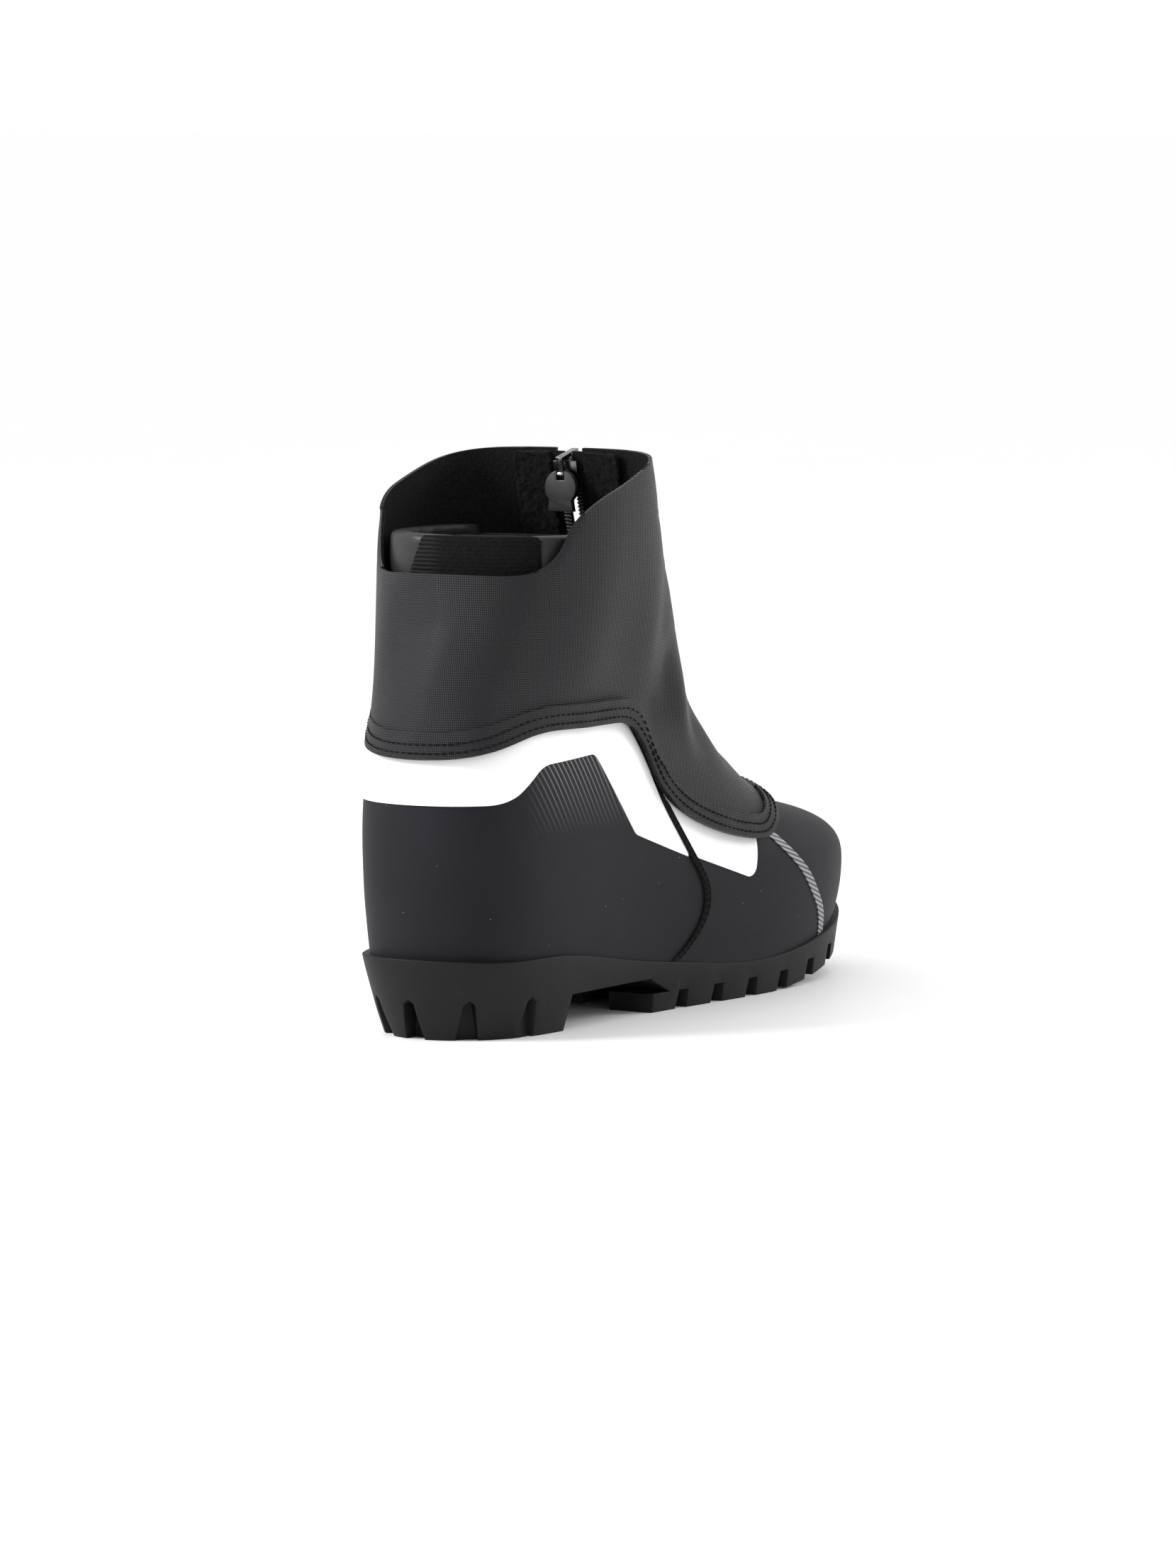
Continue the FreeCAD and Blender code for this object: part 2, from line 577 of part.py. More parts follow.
def make_overlays():
    film = layer(boot, -FILM, 0.0)
    seam_strip = ribbon(SEAM[1:10], 3.2)
    covered = above(raised(HEM, 1.5))
    band = film.common(above_runs(BAND, BAND_TURNS)).cut([covered, ahead(SEAM), seam_strip])
    keep("quarter_band", band.common(box(-50, BAND[-1][0], -90, 90, 0, 0.7 * HEIGHT)))
    panel = film.common(above_runs(PANEL, PANEL_TURNS)).common(ahead(SEAM)).cut([covered, seam_strip])
    keep("vamp_panel", panel.common(box(PANEL[0][0], PANEL[-1][0], -90, 90, 0, 0.5 * HEIGHT)))
    keep("toe_stripe", film.common(ribbon(STRIPE, STRIPE_WIDTH)).cut([below(raised(SOLE_TOP, FIT)), covered]))
    strip = layer(boot, -0.9, 0.0).common(seam_strip)
    keep("quarter_seam", strip.cut(below(raised(SOLE_TOP, FIT))).cut(above(raised(HEM, -0.5))))


# ---- zipped lace cover
def zip_front(y0, y1, low):
    """Side-view region of the cover's front above a height."""
    back, top, foot = 0.303 * LENGTH, 1.22 * HEIGHT, zip_x(low)
    edge = [(back, low - 40), (back, top), (0.57 * LENGTH, top), (foot + 25, low + 22), (foot - 25, low - 22),
            (back, low - 40)]
    return across(chain(edge), y0, y1)


def zip_strip(outside, inside, near, far, sign, low, drop=1.0):
    """One side's strip of the zip, between two depths and two widths, ending just under the rim."""
    a, b = sign * near, sign * far
    piece = layer(cover, outside, inside).common(zip_front(min(a, b), max(a, b), low))
    return piece.cut(above(raised(RIM, -drop)))


def make_cover():
    outside = -UPPER_WALL + COVER_GAP
    inside = outside + COVER_WALL
    trimmed = layer(cover, outside, inside).common(above(HEM)).cut(above(RIM))
    slot = zip_front(-ZIP_SLOT / 2, ZIP_SLOT / 2, ZIP_END - 3)
    keep("lace_cover", trimmed.cut(slot))
    band = layer(cover, outside - 1.0, outside).common(above(HEM)).cut(above(raised(HEM, HEM_BAND)))
    keep("cover_hem", band)
    tape = inside + FIT
    teeth = tape + TAPE
    for side, sign in (("lateral", -1), ("medial", 1)):
        keep("zip_tape_" + side, zip_strip(tape, teeth, SLIT / 2, SLIT / 2 + TAPE_WIDTH, sign, ZIP_END - 3))
        keep("zip_teeth_" + side, zip_strip(teeth, teeth + TEETH[0], SLIT / 2, SLIT / 2 + TEETH[1], sign,
                                            ZIP_END + 3, 3.0))
        keep("zip_facing_" + side, zip_strip(teeth, teeth + FACING_WALL, FACING_NEAR,
                                             FACING_NEAR + FACING_WIDTH, sign, FACING_END))
    reach = SLIT / 2 + TEETH[1]
    stop = layer(cover, teeth, teeth + TEETH[0]).common(zip_front(-reach, reach, ZIP_END - 1))
    keep("zip_bottom_stop", stop.cut(zip_front(-90, 90, ZIP_END + 2.6)))


def local(shape, angle):
    """Slider frame (x outward, y across, z up the zip) laid on the arc at an angle below level."""
    shape.rotate(Vector(0, 0, 0), Vector(0, 1, 0), -angle)
    turn = math.radians(angle)
    reach, drop = ZIP_RADIUS * math.cos(turn), ZIP_RADIUS * math.sin(turn)
    shape.translate(Vector(ZIP_CENTRE[0] - reach, 0, ZIP_CENTRE[1] - drop))
    return shape


SLIDER_ANGLE = math.degrees(math.asin((ZIP_CENTRE[1] - HEIGHT + SLIDER_DROP) / ZIP_RADIUS))


def make_slider():
    """Depths are measured inward from the cover's line, so outward is negative."""
    length, width, plate = SLIDER
    tape = -UPPER_WALL + COVER_GAP + COVER_WALL + FIT + COVER_EASE
    out_face = -(tape - SLIDER_PLAY)
    in_face = -(tape + TAPE + TEETH[0] + SLIDER_PLAY)
    outer = box(out_face, out_face + plate, -width / 2, width / 2, -length / 2, length / 2)
    inner = box(in_face - plate, in_face, -width / 2, width / 2, -length / 2, length / 2)
    post = box(in_face, out_face, -SLIT / 2 + 0.4, SLIT / 2 - 0.4, length / 2 - 3.5, length / 2 - 0.5)
    half = PULL_WIDTH / 2
    pin_x = out_face + plate + PIN_OUT
    pin_z = length / 2 - 0.6
    ear = half + SWING
    ears = [box(out_face + plate, pin_x + 1.1, y, y + 0.8, pin_z - 3.0, pin_z + 1.1)
            for y in (-ear - 0.8, ear)]
    pin = Part.makeCylinder(PIN_RADIUS, 2 * ear + 1.6, Vector(pin_x, -ear - 0.8, pin_z), Vector(0, 1, 0))
    keep("zip_slider", local(outer.fuse([inner, post, pin] + ears), SLIDER_ANGLE))

    leg_x = in_face - plate - PULL_BACK
    top = pin_z + PULL_RISE
    thick = PULL_THICK / 2
    eye = Part.makeCylinder(PIN_RADIUS + 0.95, PULL_WIDTH, Vector(pin_x, -half, pin_z), Vector(0, 1, 0))
    neck = box(pin_x - thick, pin_x + thick, -half, half, pin_z, top + thick)
    bar = box(leg_x - thick, pin_x + thick, -half, half, top - thick, top + thick)
    leg = box(leg_x - thick, leg_x + thick, -half, half, KNUCKLE_UP, top)
    knuckle = Part.makeCylinder(1.2, PULL_WIDTH, Vector(leg_x, -half, KNUCKLE_UP), Vector(0, 1, 0))
    link = eye.fuse([neck, bar, leg, knuckle])
    link = link.cut(Part.makeCylinder(PIN_RADIUS + SWING, 8, Vector(pin_x, -4, pin_z), Vector(0, 1, 0)))
    link = link.cut(Part.makeCylinder(0.75, 8, Vector(leg_x, -4, KNUCKLE_UP), Vector(0, 1, 0)))
    keep("zip_pull_link", local(link, SLIDER_ANGLE))

    long, wide, deep = TAB
    crown = KNUCKLE_UP + TAB_EDGE - wide / 2
    head = Part.makeCylinder(wide / 2, deep, Vector(leg_x - deep / 2, 0, crown), Vector(1, 0, 0))
    tail = box(leg_x - deep / 2, leg_x + deep / 2, -wide * 0.36, wide * 0.36,
               KNUCKLE_UP + TAB_EDGE - long, crown)
    slot = box(leg_x - 2, leg_x + 2, -half - SWING, half + SWING, KNUCKLE_UP - 1.8, 8)
    axle = Part.makeCylinder(0.45, 2 * (half + SWING), Vector(leg_x, -half - SWING, KNUCKLE_UP),
                             Vector(0, 1, 0))
    tab = head.fuse(tail).cut(slot).fuse(axle)
    tab.rotate(Vector(leg_x, 0, KNUCKLE_UP), Vector(0, 1, 0), SLIDER_ANGLE)
    keep("zip_pull_tab", local(tab, SLIDER_ANGLE))
    return [("pull pin", local(Part.Vertex(pin_x, 0, pin_z), SLIDER_ANGLE).Point),
            ("tab knuckle", local(Part.Vertex(leg_x, 0, KNUCKLE_UP), SLIDER_ANGLE).Point)]


make_sole()
make_inner_boot()
make_loops()
make_overlays()
make_cover()
axes = make_slider()

whole = FreeCAD.BoundBox()
for shape in made.values():
    whole.add(shape.optimalBoundingBox(False, False))
middle = Vector(whole.Center.x, 0, 0)
os.makedirs("parts", exist_ok=True)
for name, shape in made.items():
    shape.translate(-middle)
    shape.exportStep("parts/%s.step" % name)
    print("%-22s %2d solids %9.0f mm3 valid %s" % (name, len(shape.Solids), shape.Volume, shape.isValid()))

lowest = math.degrees(math.asin((ZIP_CENTRE[1] - ZIP_END - 8.5) / ZIP_RADIUS))
axes.append(("zip centre", Vector(ZIP_CENTRE[0], 0, ZIP_CENTRE[1])))
axes.append(("binding bar", Vector(bar_centre()[0], 0, bar_centre()[1])))
for name, spot in axes:
    print("%-12s x %.3f y %.3f z %.3f" % (name, spot.x - middle.x, spot.y - middle.y, spot.z))
print("slider travel %.2f degrees, origin moved by %.3f %.3f" % (lowest - SLIDER_ANGLE, middle.x, middle.y))
print("overall %.2f x %.2f x %.2f, lowest %.3f" % (whole.XLength, whole.YLength, whole.ZLength, whole.ZMin))
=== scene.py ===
import bpy
import bmesh
import json
import math
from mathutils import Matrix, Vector
from mathutils.bvhtree import BVHTree
from mathutils.kdtree import KDTree
from mathutils import noise


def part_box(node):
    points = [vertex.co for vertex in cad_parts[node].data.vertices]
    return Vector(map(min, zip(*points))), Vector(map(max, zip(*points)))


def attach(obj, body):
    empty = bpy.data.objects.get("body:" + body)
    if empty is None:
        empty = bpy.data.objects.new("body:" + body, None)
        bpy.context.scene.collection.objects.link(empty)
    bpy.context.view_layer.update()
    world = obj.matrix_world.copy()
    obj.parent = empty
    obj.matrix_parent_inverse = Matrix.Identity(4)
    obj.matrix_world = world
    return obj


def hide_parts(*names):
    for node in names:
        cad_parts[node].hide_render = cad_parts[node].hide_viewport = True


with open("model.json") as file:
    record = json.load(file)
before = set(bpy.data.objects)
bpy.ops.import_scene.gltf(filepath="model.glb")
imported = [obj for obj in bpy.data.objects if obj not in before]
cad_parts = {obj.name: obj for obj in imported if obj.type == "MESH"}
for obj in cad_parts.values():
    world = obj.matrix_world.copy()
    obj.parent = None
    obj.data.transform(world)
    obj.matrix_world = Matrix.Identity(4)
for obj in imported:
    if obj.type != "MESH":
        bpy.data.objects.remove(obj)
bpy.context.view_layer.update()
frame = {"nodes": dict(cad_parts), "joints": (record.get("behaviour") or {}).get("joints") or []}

mm = 0.001


class Wire:
    def __init__(self, tree, socket):
        self.tree = tree
        self.socket = socket

    def math(self, operation, *others):
        node = self.tree.nodes.new("ShaderNodeMath")
        node.operation = operation
        for slot, value in zip(node.inputs, (self,) + others):
            if isinstance(value, Wire):
                self.tree.links.new(value.socket, slot)
            else:
                slot.default_value = value
        return Wire(self.tree, node.outputs[0])

    def __add__(self, other):
        return self.math("ADD", other)

    def __radd__(self, other):
        return self.math("ADD", other)

    def __sub__(self, other):
        return self.math("SUBTRACT", other)

    def __mul__(self, other):
        return self.math("MULTIPLY", other)

    def __rmul__(self, other):
        return self.math("MULTIPLY", other)

    def __truediv__(self, other):
        return self.math("DIVIDE", other)

    def __rsub__(self, other):
        return (self * -1.0).math("ADD", other)

    def sin(self):
        return self.math("SINE")

    def abs(self):
        return self.math("ABSOLUTE")

    def above(self, level):
        return self.math("GREATER_THAN", level)

    def most(self, other):
        return self.math("MAXIMUM", other)

    def least(self, other):
        return self.math("MINIMUM", other)

    def frac(self):
        return self.math("FRACT")

    def ramp(self, low, high):
        value = (self - low) * (1.0 / (high - low))
        return value.most(0.0).least(1.0)


class Finish:
    def __init__(self, name, **settings):
        self.material = bpy.data.materials.new(name)
        self.material.use_nodes = True
        self.tree = self.material.node_tree
        self.shader = self.tree.nodes["Principled BSDF"]
        for socket, value in settings.items():
            self.shader.inputs[socket.replace("_", " ")].default_value = value

    def node(self, kind, settings=None, inputs=None, out=0):
        node = self.tree.nodes.new("ShaderNode" + kind)
        for key, value in (settings or {}).items():
            setattr(node, key, value)
        for key, value in (inputs or {}).items():
            if isinstance(value, Wire):
                self.tree.links.new(value.socket, node.inputs[key])
            else:
                node.inputs[key].default_value = value
        return Wire(self.tree, node.outputs[out])

    def place(self):
        place = self.node("TexCoord", out=3)
        split = self.node("SeparateXYZ", None, {0: place})
        rest = split.socket.node
        return place, split, Wire(self.tree, rest.outputs[1]), Wire(self.tree, rest.outputs[2])

    def noise(self, place, scale, detail=3.0, rough=0.55):
        return self.node("TexNoise", None, {"Vector": place, "Scale": scale, "Detail": detail,
                                            "Roughness": rough})

    def mix(self, factor, dark, light):
        node = self.tree.nodes.new("ShaderNodeMix")
        node.data_type = "RGBA"
        for slot, value in ((0, factor), (6, dark), (7, light)):
            if isinstance(value, Wire):
                self.tree.links.new(value.socket, node.inputs[slot])
            else:
                node.inputs[slot].default_value = value
        return Wire(self.tree, node.outputs[2])

    def feed(self, socket, wire):
        self.tree.links.new(wire.socket, self.shader.inputs[socket])

    def bump(self, height, depth, soft=1.0, bevel=0.0):
        inputs = {"Height": height, "Distance": depth, "Strength": soft}
        if bevel:
            inputs["Normal"] = self.node("Bevel", {"samples": 6}, {"Radius": bevel})
        self.feed("Normal", self.node("Bump", None, inputs))


def grey(level, blue=1.04):
    return (level, level, level * blue, 1.0)


def coverTwill():
    weave = {"pitch": 1.5 * mm, "dark": grey(0.003, 1.2), "light": grey(0.013, 1.3)}
    finish = Finish("coverTwill", Roughness=0.5, Specular_IOR_Level=0.22, Sheen_Weight=0.02,
                    Sheen_Roughness=0.4)
    place, x, y, z = finish.place()
    wobble = finish.noise(place, 60.0, 2.0)
    around = x + y.abs() + wobble * (0.5 * mm)
    turn = 2 * math.pi / weave["pitch"]
    first = ((around * 0.87 + z * 1.0) * turn).sin()
    second = ((around * 0.87 - z * 1.0) * turn).sin()
    dots = (first * second * 0.5 + 0.5).ramp(0.15, 0.9)
    patches = finish.noise(place, 26.0, 3.0).ramp(0.3, 0.75)
    finish.feed("Base Color", finish.mix(dots * (patches * 0.45 + 0.55), weave["dark"], weave["light"]))
    finish.feed("Roughness", 0.56 - dots * 0.2)
    finish.bump(dots + finish.noise(place, 2600.0, 1.0) * 0.3, 0.16 * mm)
    return finish.material


def coverLining():
    finish = Finish("coverLining", Roughness=0.8, Specular_IOR_Level=0.1)
    place, x, y, z = finish.place()
    threads = finish.noise(place, 1900.0, 2.0)
    finish.feed("Base Color", finish.mix(threads.ramp(0.35, 0.75), grey(0.003), grey(0.017)))
    finish.bump(threads, 0.15 * mm)
    return finish.material


def softshell(stripes):
    skin = {"dark": grey(0.0055, 1.4), "light": grey(0.0095, 1.35), "fleck": grey(0.12)}
    finish = Finish("softshellPinstripe" if stripes else "softshell", Roughness=0.62,
                    Specular_IOR_Level=0.16, Sheen_Weight=0.01, Sheen_Roughness=0.5)
    place, x, y, z = finish.place()
    grain = finish.noise(place, 3200.0, 2.0)
    cloudy = finish.noise(place, 30.0, 3.0)
    colour = finish.mix((grain * 0.5 + cloudy * 0.5).ramp(0.35, 0.65), skin["dark"], skin["light"])
    flecks = finish.node("TexVoronoi", None, {"Vector": place, "Scale": 260.0})
    rare = finish.noise(place, 190.0, 0.0).above(0.66)
    colour = finish.mix((0.06 - flecks).above(0.0) * rare, colour, skin["fleck"])
    if stripes:
        lean = x + z * stripes["lean"]
        line = ((lean / stripes["pitch"]).frac() - 0.5).abs()
        fade = z.ramp(stripes["fadeLow"], stripes["fadeHigh"]) * x.ramp(*stripes["back"])
        fade = fade * (1.0 - x.ramp(*stripes["front"]))
        colour = finish.mix((0.14 - line).above(0.0) * fade * 0.8, colour, grey(0.16))
    finish.feed("Base Color", colour)
    finish.feed("Roughness", 0.56 + grain * 0.14)
    finish.bump(grain, 0.05 * mm)
    return finish.material


def moulded(name, level, rough, scale, depth, bevel, blue=1.05):
    finish = Finish(name, Roughness=rough, Specular_IOR_Level=0.2)
    place, x, y, z = finish.place()
    grain = finish.noise(place, scale, 3.0)
    cloudy = finish.noise(place, 35.0, 4.0)
    scuffs = finish.noise(place, 140.0, 4.0).ramp(0.6, 0.8)
    colour = finish.mix(cloudy.ramp(0.3, 0.7), grey(level * 0.82, blue), grey(level * 1.15, blue))
    finish.feed("Base Color", finish.mix(scuffs * 0.25, colour, grey(level * 2.0, blue)))
    finish.feed("Roughness", rough - 0.05 + grain * 0.12)
    finish.bump(grain, depth, 1.0, bevel)
    return finish.material


def ribKnit():
    finish = Finish("ribKnit", Roughness=0.95, Specular_IOR_Level=0.05, Sheen_Weight=0.02)
    place, x, y, z = finish.place()
    fuzz = finish.noise(place, 1400.0, 4.0)
    bend = finish.noise(place, 90.0, 2.0)
    ribs = ((z + bend * (0.7 * mm)) * (2 * math.pi / (1.35 * mm))).sin() * 0.5 + 0.5
    ribbed = y.ramp(0.002, 0.008) * 0.8 + 0.1
    height = ribs * ribbed + fuzz * 0.8
    finish.feed("Base Color", finish.mix((height * 0.6).ramp(0.2, 0.8), grey(0.004), grey(0.02, 1.03)))
    finish.bump(height, 0.5 * mm)
    return finish.material


def fleece(name, level):
    finish = Finish(name, Roughness=0.97, Specular_IOR_Level=0.04, Sheen_Weight=0.03)
    place, x, y, z = finish.place()
    tufts = finish.noise(place, 700.0, 5.0, 0.7)
    finish.feed("Base Color", finish.mix(tufts.ramp(0.35, 0.7), grey(level * 0.35), grey(level * 1.5)))
    finish.bump(tufts, 0.7 * mm)
    return finish.material


def collarLeather():
    finish = Finish("collarLeather", Roughness=0.42, Specular_IOR_Level=0.3)
    place, x, y, z = finish.place()
    pebble = finish.node("TexVoronoi", {"feature": "SMOOTH_F1"}, {"Vector": place, "Scale": 1500.0})
    cloudy = finish.noise(place, 60.0, 3.0)
    finish.feed("Base Color", finish.mix(cloudy.ramp(0.3, 0.7), grey(0.008), grey(0.014)))
    finish.feed("Roughness", 0.38 + cloudy * 0.15)
    finish.bump(pebble * 0.6 + cloudy, 0.12 * mm)
    return finish.material


def printFilm(name, level):
    finish = Finish(name, Roughness=0.5, Specular_IOR_Level=0.4)
    place, x, y, z = finish.place()
    grain = finish.noise(place, 2600.0, 2.0)
    finish.feed("Base Color", finish.mix(grain, grey(level * 0.97, 1.01), grey(level, 1.01)))
    finish.bump(grain, 0.03 * mm)
    return finish.material


def tickedPrint():
    finish = Finish("tickedPrint", Roughness=0.5)
    place, x, y, z = finish.place()
    tick = (((z * 0.8 + x * 0.25) / (1.15 * mm)).frac() - 0.5).abs()
    finish.feed("Base Color", finish.mix((tick - 0.24).above(0.0), grey(0.03), grey(0.26)))
    return finish.material


def tape(name, level, pitch):
    finish = Finish(name, Roughness=0.85, Specular_IOR_Level=0.12)
    place, x, y, z = finish.place()
    turn = 2 * math.pi / pitch
    weave = (z * turn).sin() * ((x + y) * turn).sin() * 0.5 + 0.5
    finish.feed("Base Color", finish.mix(weave, grey(level * 0.5), grey(level * 1.4)))
    finish.bump(weave, 0.12 * mm)
    return finish.material


def polished(name, level, rough, metallic):
    finish = Finish(name, Metallic=metallic, Specular_IOR_Level=0.6)
    place, x, y, z = finish.place()
    smear = finish.noise(place, 400.0, 3.0)
    finish.feed("Base Color", finish.mix(smear, grey(level * 0.8), grey(level * 1.2)))
    finish.feed("Roughness", rough - 0.05 + smear * 0.1)
    finish.bump(smear, 0.02 * mm, 1.0, 0.25 * mm)
    return finish.material


pinstripes = {"lean": 0.6, "pitch": 2.6 * mm, "fadeLow": 0.066, "fadeHigh": 0.088,
              "back": (-0.108, -0.094), "front": (-0.046, -0.043)}
twill = coverTwill()
coverBack = coverLining()
shell = softshell(None)
shellStriped = softshell(pinstripes)
rubber = moulded("soleRubber", 0.0055, 0.58, 1800.0, 0.06 * mm, 0.7 * mm)
hardPlastic = moulded("solePlastic", 0.014, 0.42, 1200.0, 0.04 * mm, 0.4 * mm)
knit = ribKnit()
leather = collarLeather()
darkFleece = fleece("darkFleece", 0.008)
zipFleece = fleece("zipFleece", 0.01)
footFelt = fleece("footFelt", 0.06)
whitePrint = printFilm("whitePrint", 0.86)
greyTicks = tickedPrint()
seamTape = tape("seamTape", 0.006, 0.8 * mm)
zipTape = tape("zipTape", 0.008, 0.6 * mm)
thread = tape("thread", 0.008, 0.25 * mm)
boardFibre = moulded("boardFibre", 0.3, 0.8, 900.0, 0.05 * mm, 0.0, 0.85)
blackChrome = polished("blackChrome", 0.16, 0.2, 1.0)
steel = polished("steel", 0.55, 0.28, 1.0)
tabRubber = polished("tabRubber", 0.012, 0.36, 0.0)
coil = polished("coilNylon", 0.03, 0.35, 0.0)
print("materials made")


def only(piece):
    bpy.ops.object.select_all(action="DESELECT")
    piece.select_set(True)
    bpy.context.view_layer.objects.active = piece


def copyOf(node, name):
    piece = bpy.data.objects.new(name, frame["nodes"][node].data.copy())
    bpy.context.scene.collection.objects.link(piece)
    piece.data.materials.clear()
    only(piece)
    bpy.ops.object.mode_set(mode="EDIT")
    bpy.ops.mesh.select_all(action="SELECT")
    bpy.ops.mesh.remove_doubles(threshold=0.01 * mm)
    bpy.ops.object.mode_set(mode="OBJECT")
    if piece.data.has_custom_normals:
        bpy.ops.mesh.customdata_custom_splitnormals_clear()
    return piece


def paint(piece, material, slot, body, *nodes):
    piece.data.materials.clear()
    piece.data.materials.append(material)
    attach(piece, body)
    if nodes:
        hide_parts(*nodes)


def smoothShade(piece, angle=None):
    only(piece)
    if angle is None:
        bpy.ops.object.shade_smooth()
    else:
        bpy.ops.object.shade_smooth_by_angle(angle=math.radians(angle))


def finishWith(piece, kind, **settings):
    only(piece)
    modifier = piece.modifiers.new(kind.lower(), kind)
    for key, value in settings.items():
        setattr(modifier, key, value)
    bpy.ops.object.modifier_apply(modifier=modifier.name)


spine = [Vector(p) * mm for p in ((-68, 0, 230), (-68, 0, 120), (-45, 0, 70), (10, 0, 40), (60, 0, 30))]


def fromSpine(point):
    best = None
    for a, b in zip(spine, spine[1:]):
        along = max(0.0, min(1.0, (point - a).dot(b - a) / (b - a).length_squared))
        away = point - (a + (b - a) * along)
        if best is None or away.length < best.length:
            best = away
    return best


def outerSkin(piece, least=0.25):
    mesh = bmesh.new()
    mesh.from_mesh(piece.data)
    drop = [f for f in mesh.faces if f.normal.dot(fromSpine(f.calc_center_median()).normalized()) < least]
    bmesh.ops.delete(mesh, geom=drop, context="FACES")
    loose = [v for v in mesh.verts if not v.link_faces]
    bmesh.ops.delete(mesh, geom=loose, context="VERTS")
    mesh.to_mesh(piece.data)
    mesh.free()


def even(piece, edge, rounds=3, passes=6):
    mesh = bmesh.new()
    mesh.from_mesh(piece.data)
    for step in range(rounds):
        long = [e for e in mesh.edges if e.calc_length() > edge]
        if not long:
            break
        bmesh.ops.subdivide_edges(mesh, edges=long, cuts=1, use_grid_fill=False)
        bmesh.ops.triangulate(mesh, faces=[f for f in mesh.faces if len(f.verts) > 3])
        inner = [e for e in mesh.edges if not e.is_boundary]
        bmesh.ops.beautify_fill(mesh, faces=mesh.faces[:], edges=inner)
    tight = [e for e in mesh.edges if e.calc_length() < edge * 0.22 and not e.is_boundary
             and not e.verts[0].is_boundary and not e.verts[1].is_boundary]
    bmesh.ops.collapse(mesh, edges=tight)
    for step in range(passes):
        free = [v for v in mesh.verts if not v.is_boundary]
        bmesh.ops.smooth_vert(mesh, verts=free, factor=0.5, use_axis_x=True, use_axis_y=True, use_axis_z=True)
    bmesh.ops.recalc_face_normals(mesh, faces=mesh.faces)
    mesh.to_mesh(piece.data)
    mesh.free()


def treeOf(piece):
    mesh = bmesh.new()
    mesh.from_mesh(piece.data)
    tree = BVHTree.FromBMesh(mesh)
    mesh.free()
    return tree


def edgeLoops(piece):
    mesh = bmesh.new()
    mesh.from_mesh(piece.data)
    left = {e for e in mesh.edges if e.is_boundary}
    loops = []
    while left:
        edge = left.pop()
        line = [edge.verts[0], edge.verts[1]]
        while True:
            step = next((e for e in line[-1].link_edges if e in left), None)
            if step is None:
                break
            left.remove(step)
            line.append(step.other_vert(line[-1]))
        loops.append([v.co.copy() for v in line])
    mesh.free()
    return sorted(loops, key=len, reverse=True)


def evenly(points, pitch):
    result, carry = [points[0].copy()], 0.0
    for a, b in zip(points, points[1:]):
        length = (b - a).length
        while carry + length >= pitch and length > 0:
            share = (pitch - carry) / length
            a = a + (b - a) * share
            result.append(a.copy())
            length = (b - a).length
            carry = 0.0
        carry += length
    return result


def stitchRow(name, places, size, material, slot):
    bpy.ops.object.select_all(action="DESELECT")
    bpy.ops.mesh.primitive_uv_sphere_add(segments=6, ring_count=5, radius=0.5)
    seed = bpy.context.active_object
    shape = [v.co.copy() for v in seed.data.vertices]
    faces = [tuple(f.vertices) for f in seed.data.polygons]
    bpy.data.objects.remove(seed)
    points, polygons = [], []
    for spot, along, normal in places:
        side = along.cross(normal).normalized()
        base = len(points)
        for v in shape:
            lift = -0.6 * (v.x * 2) ** 2 * size["thick"] * 0.5
            points.append(spot + along * (v.x * size["length"]) + side * (v.y * size["thick"])
                          + normal * (v.z * size["thick"] + lift))
        polygons += [tuple(base + i for i in f) for f in faces]
    data = bpy.data.meshes.new(name)
    data.from_pydata(points, [], polygons)
    piece = bpy.data.objects.new(name, data)
    bpy.context.scene.collection.objects.link(piece)
    smoothShade(piece)
    paint(piece, material, slot, "root")
    return piece


def rowAlong(line, surface, inset, pitch, lift):
    places = []
    spots = evenly(line, pitch)
    for i, spot in enumerate(spots[:-1]):
        along = (spots[i + 1] - spots[i - 1 if i else 0]).normalized()
        near, normal = surface.find_nearest(spot)[:2]
        if near is None:
            continue
        up = normal.cross(along).normalized()
        if up.z < 0:
            up = -up
        near, normal, index, distance = surface.find_nearest(spot + up * inset)
        places.append((near + normal * lift, along, normal))
    return places

folds = [  # centre, width along x y z, depth (+ out), all mm
    {"at": (-118, 6, 136), "wide": (30, 15, 13), "deep": -2.4},
    {"at": (-118, 24, 128), "wide": (18, 8, 30), "deep": 1.4},
    {"at": (-122, -6, 118), "wide": (20, 10, 20), "deep": 1.0},
    {"at": (-60, -40, 128), "wide": (16, 14, 26), "deep": -1.5},
    {"at": (-30, -36, 132), "wide": (7, 14, 26), "deep": -1.5},
    {"at": (-22, -34, 114), "wide": (6, 14, 12), "deep": -2.6},
    {"at": (-12, -30, 103), "wide": (5, 14, 12), "deep": 1.6},
    {"at": (-30, -34, 101), "wide": (8, 14, 7), "deep": -2.0},
    {"at": (-2, -28, 93), "wide": (6, 14, 9), "deep": -2.0},
    {"at": (16, -24, 84), "wide": (7, 14, 9), "deep": -1.3},
    {"at": (-26, 34, 116), "wide": (9, 14, 16), "deep": -2.0},
    {"at": (4, 26, 92), "wide": (8, 14, 12), "deep": -1.6},
    {"at": (-34, 34, 100), "wide": (7, 14, 14), "deep": -1.4},
    {"at": (-62, 40, 130), "wide": (16, 14, 26), "deep": -1.4},
]
coverSize = {"edge": 2.4 * mm, "wall": 1.2 * mm, "hemWall": 1.0 * mm}


def foldDepth(point, low, high):
    total = 0.0
    for fold in folds:
        away = [(point[i] / mm - fold["at"][i]) / fold["wide"][i] for i in range(3)]
        total += fold["deep"] * math.exp(-sum(a * a for a in away))
    ripple = noise.noise(Vector((point.x * 22, point.y * 22, point.z * 14))) * 0.9
    hold = min(1.0, max(0.0, low / (9 * mm)), max(0.0, high / (5 * mm)))
    return (total + ripple) * hold * mm


